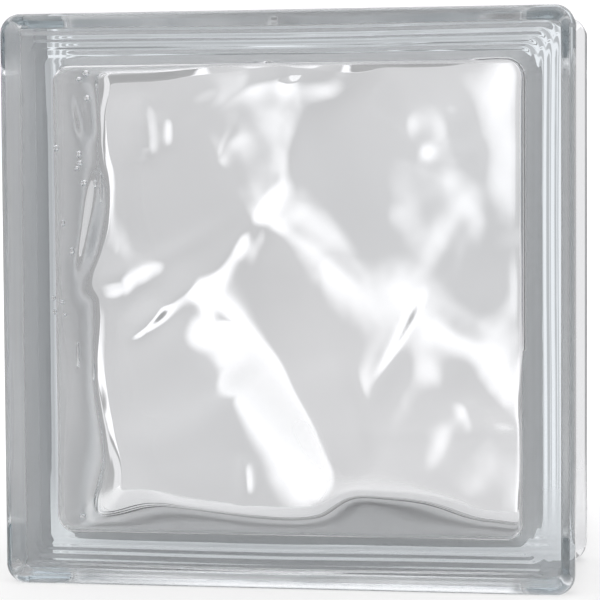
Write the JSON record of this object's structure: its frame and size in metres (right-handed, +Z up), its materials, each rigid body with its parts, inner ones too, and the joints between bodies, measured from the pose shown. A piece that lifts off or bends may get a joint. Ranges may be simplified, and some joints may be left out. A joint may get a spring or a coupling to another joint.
{
  "type": "glass block",
  "caption": "Hollow square glass block, smooth outside, with a flowing wave relief pressed inside its faces and a mortar groove round its edge.",
  "frame": {"origin": "on the floor under the middle of the block, as it stands on one edge", "axes": "+X along the width, +Y through the thickness from the front face to the back face, +Z up"},
  "size_m": [0.19, 0.08, 0.19],
  "materials": {
    "glass": "clear pressed soda-lime glass, smooth outside"
  },
  "bodies": {
    "root": {"glass_block": "glass"}
  },
  "joints": []
}
